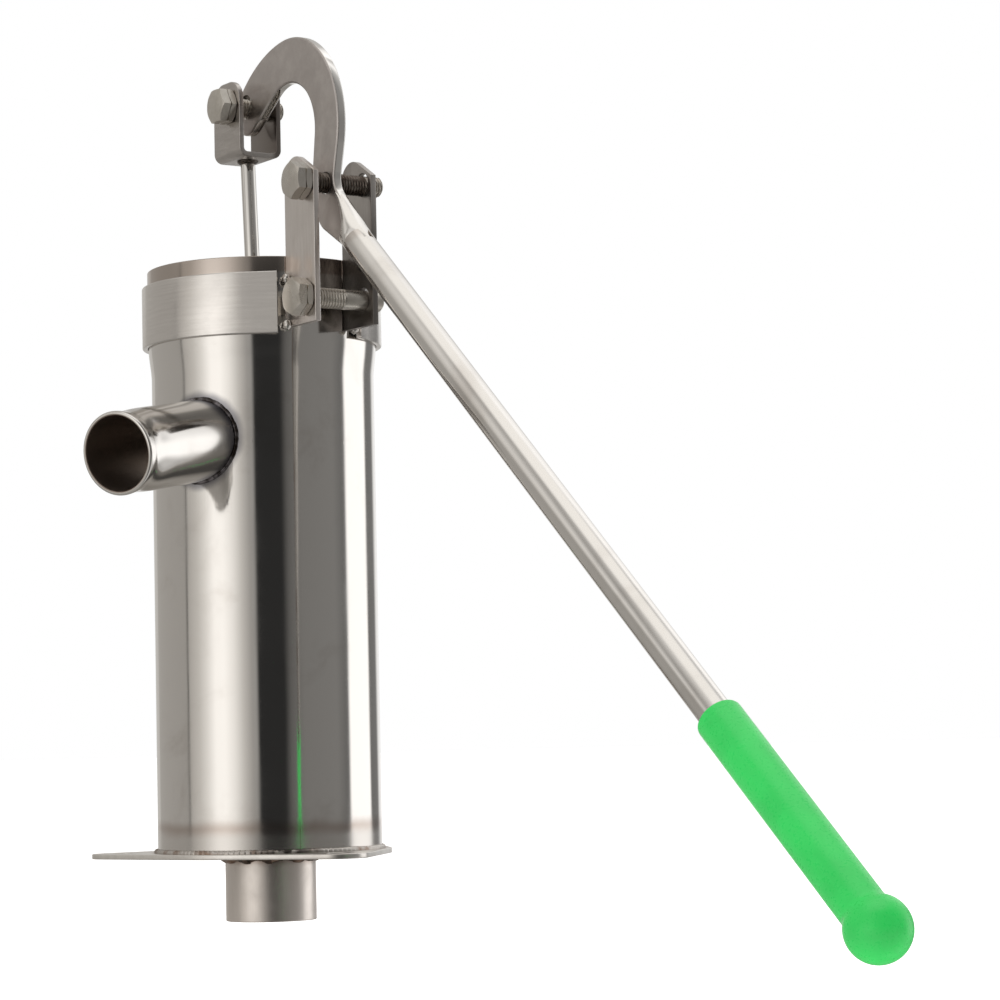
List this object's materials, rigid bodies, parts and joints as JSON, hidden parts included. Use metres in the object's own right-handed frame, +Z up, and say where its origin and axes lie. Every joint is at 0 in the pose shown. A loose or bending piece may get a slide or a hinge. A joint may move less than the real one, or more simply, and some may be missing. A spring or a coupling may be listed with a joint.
{
  "type": "hand well pump",
  "caption": "Stainless steel hand well pump: open barrel with a side spout and foot plate, band-clamped lever bracket, gooseneck lever with a green grip, and a rod-driven cup piston.",
  "frame": {"origin": "centre of the foot plate's underside, on the barrel's axis", "axes": "+Z up along the barrel, +X out from the barrel towards the handle's end, +Y completes the right-handed frame; the spout leaves towards -Y"},
  "size_m": [0.4336, 0.1587, 0.3491],
  "materials": {
    "polished_steel": "polished stainless",
    "plate_steel": "satin stainless",
    "bracket_steel": "satin stainless",
    "lever_steel": "satin stainless",
    "tube_steel": "polished stainless",
    "rod_steel": "bright drawn stainless",
    "bolt_steel": "bright",
    "inner_steel": "mill finish",
    "weld_metal": "heat tinted weld bead",
    "tack_metal": "bright weld bead",
    "grip_plastic": "semi-gloss green",
    "piston_plastic": "white moulded plastic",
    "cup_rubber": "black rubber"
  },
  "bodies": {
    "root": {"barrel": "polished_steel", "outlet_spout": "polished_steel", "spout_weld": "weld_metal", "foot_plate": "plate_steel", "barrel_weld": "weld_metal", "inlet_pipe": "polished_steel", "inlet_weld": "weld_metal", "clamp_band": "bracket_steel", "near_ear": "bracket_steel", "far_ear": "bracket_steel", "ear_welds": "tack_metal", "pivot_bolt": "bolt_steel", "pivot_lock_nut": "bolt_steel", "clamp_bolt": "bolt_steel", "clamp_lock_nut": "bolt_steel", "foot_valve_seat": "piston_plastic", "foot_valve_cage": "inner_steel"},
    "lever": {"lever_plate": "lever_steel", "handle_tube": "tube_steel", "lever_weld": "weld_metal", "handle_grip": "grip_plastic"},
    "rod": {"clevis": "bracket_steel", "clevis_bolt": "bolt_steel", "clevis_lock_nut": "bolt_steel", "piston_rod": "rod_steel", "rod_weld": "weld_metal", "rod_nuts": "bolt_steel"},
    "piston": {"piston_body": "piston_plastic", "piston_cup": "cup_rubber", "cup_retainer": "inner_steel", "valve_stud": "inner_steel", "valve_stop_nut": "inner_steel", "piston_yoke": "inner_steel", "yoke_screws": "inner_steel"},
    "upper_valve": {"piston_valve": "cup_rubber"},
    "lower_valve": {"foot_valve_disc": "cup_rubber", "foot_valve_weight": "inner_steel", "foot_valve_rivet": "inner_steel"}
  },
  "joints": [
    {"name": "lever_pivot", "type": "hinge", "parent": "root", "child": "lever", "pos_m": [0.0606, -0.003, 0.2603], "axis": [0, -1, 0], "range_deg": [-8, 48]},
    {"name": "rod_swing", "type": "hinge", "parent": "lever", "child": "rod", "pos_m": [-0.0018, -0.003, 0.30075], "axis": [0, -1, 0], "range_deg": [-45, 10]},
    {"name": "piston_slide", "type": "slide", "parent": "root", "child": "piston", "axis": [0, 0, 1], "range_m": [-0.06, 0.011]},
    {"name": "upper_valve_lift", "type": "slide", "parent": "piston", "child": "upper_valve", "axis": [0, 0, 1], "range_m": [0, 0.0034]},
    {"name": "lower_valve_lift", "type": "slide", "parent": "root", "child": "lower_valve", "axis": [0, 0, 1], "range_m": [0, 0.0069]}
  ],
  "couplings": [
    {"joint": "rod_swing", "follows": "lever_pivot", "ratio": -0.9},
    {"joint": "piston_slide", "follows": "lever_pivot", "m_per_rad": -0.07}
  ]
}
